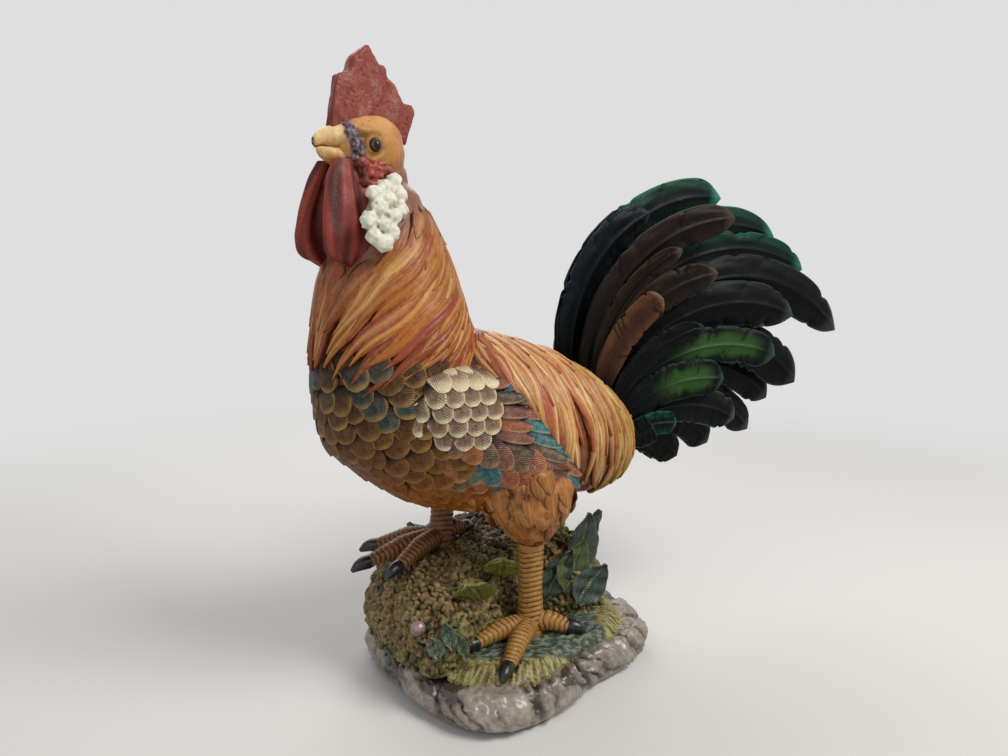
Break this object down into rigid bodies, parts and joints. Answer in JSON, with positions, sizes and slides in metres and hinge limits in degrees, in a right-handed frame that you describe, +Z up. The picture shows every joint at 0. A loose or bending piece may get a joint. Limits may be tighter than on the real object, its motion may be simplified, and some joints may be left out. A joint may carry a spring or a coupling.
{
  "type": "rooster figurine",
  "caption": "Painted resin rooster figurine with a turned head, long neck hackles and a fanned tail, standing on a rock and moss base as a shelf ornament.",
  "frame": {"origin": "on the underside of the base, below the bird's middle plane", "axes": "+Z up; the bird faces -Y and its left side is +X"},
  "size_m": [0.1222, 0.277, 0.2658],
  "materials": {
    "felt": "felt",
    "stone_paint": "painted resin, lightly varnished",
    "turf_paint": "painted resin",
    "moss_paint": "painted resin",
    "leaf_paint": "painted resin",
    "bead_paint": "gloss painted resin",
    "breast_paint": "painted resin with dry-brushed edges",
    "hackle_paint": "painted resin with dry-brushed edges",
    "saddle_paint": "painted resin with dry-brushed edges",
    "wing_paint": "painted resin with dry-brushed edges",
    "tail_paint": "satin painted resin with green sheen",
    "red_paint": "painted resin",
    "face_paint": "painted resin",
    "horn_paint": "painted resin",
    "lobe_paint": "painted resin",
    "eye_gloss": "gloss varnish",
    "leg_paint": "painted resin with dark rings",
    "claw_paint": "satin painted resin",
    "rod_steel": "plain"
  },
  "bodies": {
    "root": {"felt_pad": "felt", "stone_slab": "stone_paint", "turf": "turf_paint", "moss_mound": "moss_paint", "mound_leaves": "leaf_paint", "sprout_blades": "leaf_paint", "berry_bead": "bead_paint", "torso": "breast_paint", "left_thigh": "breast_paint", "right_thigh": "breast_paint", "neck_hackle": "hackle_paint", "saddle_hackle": "saddle_paint", "left_wing": "wing_paint", "right_wing": "wing_paint", "tail_boss": "tail_paint", "left_sickles": "tail_paint", "right_sickles": "tail_paint", "left_main_tail": "tail_paint", "right_main_tail": "tail_paint", "left_tail_coverts": "tail_paint", "right_tail_coverts": "tail_paint", "comb": "red_paint", "left_wattle": "red_paint", "right_wattle": "red_paint", "head": "face_paint", "upper_beak": "horn_paint", "lower_beak": "horn_paint", "left_earlobe": "lobe_paint", "right_earlobe": "lobe_paint", "left_eye": "eye_gloss", "right_eye": "eye_gloss", "left_shank": "leg_paint", "right_shank": "leg_paint", "left_inner_toe": "leg_paint", "left_middle_toe": "leg_paint", "left_outer_toe": "leg_paint", "left_hind_toe": "leg_paint", "right_inner_toe": "leg_paint", "right_middle_toe": "leg_paint", "right_outer_toe": "leg_paint", "right_hind_toe": "leg_paint", "left_claws": "claw_paint", "right_claws": "claw_paint", "left_leg_rod": "rod_steel", "right_leg_rod": "rod_steel", "neck_dowel": "rod_steel", "tail_dowel": "rod_steel"}
  },
  "joints": []
}
